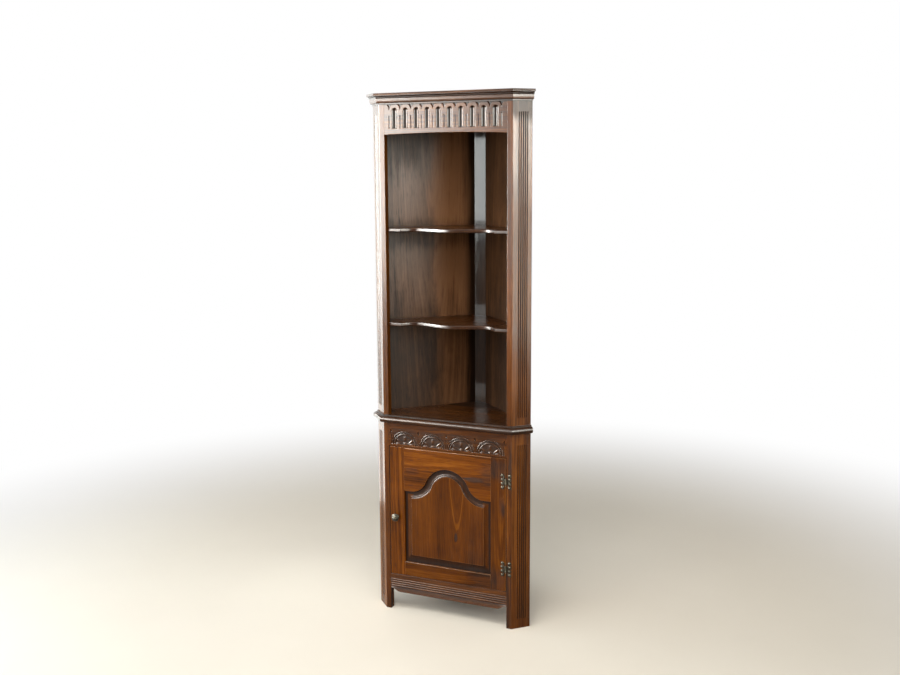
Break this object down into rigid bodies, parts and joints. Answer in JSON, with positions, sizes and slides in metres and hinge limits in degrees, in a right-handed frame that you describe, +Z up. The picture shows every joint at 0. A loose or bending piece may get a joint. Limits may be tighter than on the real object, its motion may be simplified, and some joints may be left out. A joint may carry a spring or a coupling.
{
  "type": "corner cupboard",
  "caption": "Tall corner cupboard: open shaped shelves over a hinged arched-panel door, canted reeded front corners, moulded cornice and waist.",
  "frame": {"origin": "on the floor, at the middle of the overall width and depth", "axes": "+Z up, +X to the right of someone facing the cupboard, -Y out of its front, +Y to the room's corner behind it"},
  "size_m": [0.6062, 0.3464, 1.8],
  "materials": {
    "oak_case": "dark antique oak, semi-gloss lacquer, darker in the crevices",
    "oak_door": "warmer red-brown oak, semi-gloss lacquer",
    "oak_inside": "darker oak-faced boards, satin lacquer",
    "aged_brass": "dark aged brass with worn high spots",
    "steel": "plain zinc-plated steel",
    "catch_plastic": "matt dark brown"
  },
  "bodies": {
    "case": {"top_board": "oak_case", "cornice_front": "oak_case", "cornice_left": "oak_case", "cornice_right": "oak_case", "upper_frieze_rail": "oak_case", "upper_stile_left": "oak_case", "upper_stile_right": "oak_case", "upper_canted_board_left": "oak_case", "upper_canted_board_right": "oak_case", "upper_back_panel_left": "oak_inside", "upper_back_panel_right": "oak_inside", "upper_corner_post": "oak_inside", "upper_shelf": "oak_case", "middle_shelf": "oak_case", "waist_board": "oak_case", "lower_frieze_rail": "oak_case", "lower_stile_left": "oak_case", "lower_stile_right": "oak_case", "lower_canted_board_left": "oak_case", "lower_canted_board_right": "oak_case", "lower_back_panel_left": "oak_inside", "lower_back_panel_right": "oak_inside", "lower_corner_post": "oak_inside", "plinth_rail": "oak_case", "cupboard_floor": "oak_inside", "floor_cleat_left": "oak_inside", "floor_cleat_right": "oak_inside", "catch_block": "oak_inside", "magnetic_catch": "catch_plastic", "upper_hinge_frame_leaf": "aged_brass", "upper_hinge_pin": "aged_brass", "upper_hinge_frame_screw_1": "aged_brass", "upper_hinge_frame_screw_2": "aged_brass", "lower_hinge_frame_leaf": "aged_brass", "lower_hinge_pin": "aged_brass", "lower_hinge_frame_screw_1": "aged_brass", "lower_hinge_frame_screw_2": "aged_brass"},
    "door": {"door_stile_left": "oak_door", "door_stile_right": "oak_door", "door_top_rail": "oak_door", "door_bottom_rail": "oak_door", "door_panel": "oak_door", "knob": "aged_brass", "knob_screw": "steel", "catch_plate": "steel", "upper_hinge_door_leaf": "aged_brass", "upper_hinge_door_screw_1": "aged_brass", "upper_hinge_door_screw_2": "aged_brass", "lower_hinge_door_leaf": "aged_brass", "lower_hinge_door_screw_1": "aged_brass", "lower_hinge_door_screw_2": "aged_brass"}
  },
  "joints": [
    {"name": "door_hinge", "type": "hinge", "parent": "case", "child": "door", "pos_m": [0.21875, -0.154, 0.36475], "axis": [0, 0, 1], "range_deg": [0, 170]}
  ]
}
